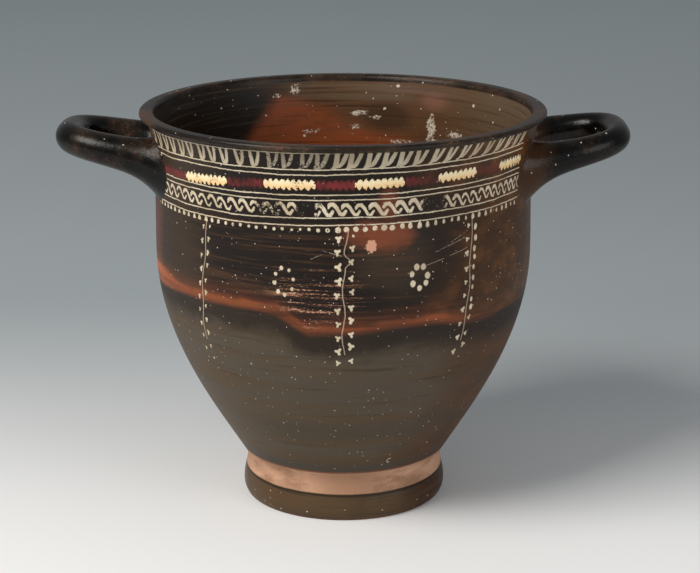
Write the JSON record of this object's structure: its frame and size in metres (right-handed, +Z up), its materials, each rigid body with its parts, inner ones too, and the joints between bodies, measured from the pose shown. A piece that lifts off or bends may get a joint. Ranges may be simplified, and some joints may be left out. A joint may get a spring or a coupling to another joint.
{
  "type": "bell krater",
  "caption": "Fired-clay bell krater: open hollow bowl with a rounded lip, horizontal loop handles and a ring foot, dark glaze with painted bands.",
  "frame": {"origin": "centre of the foot's resting plane, on the vessel's turning axis", "axes": "+Z up along the turning axis, +X out through one handle, -Y towards the painted front"},
  "size_m": [0.3808, 0.27, 0.268],
  "materials": {
    "glazed_clay": "worn satin black-brown glaze with cream, yellow and red painted ornament and an unglazed clay band at the foot"
  },
  "bodies": {
    "root": {"krater": "glazed_clay"}
  },
  "joints": []
}
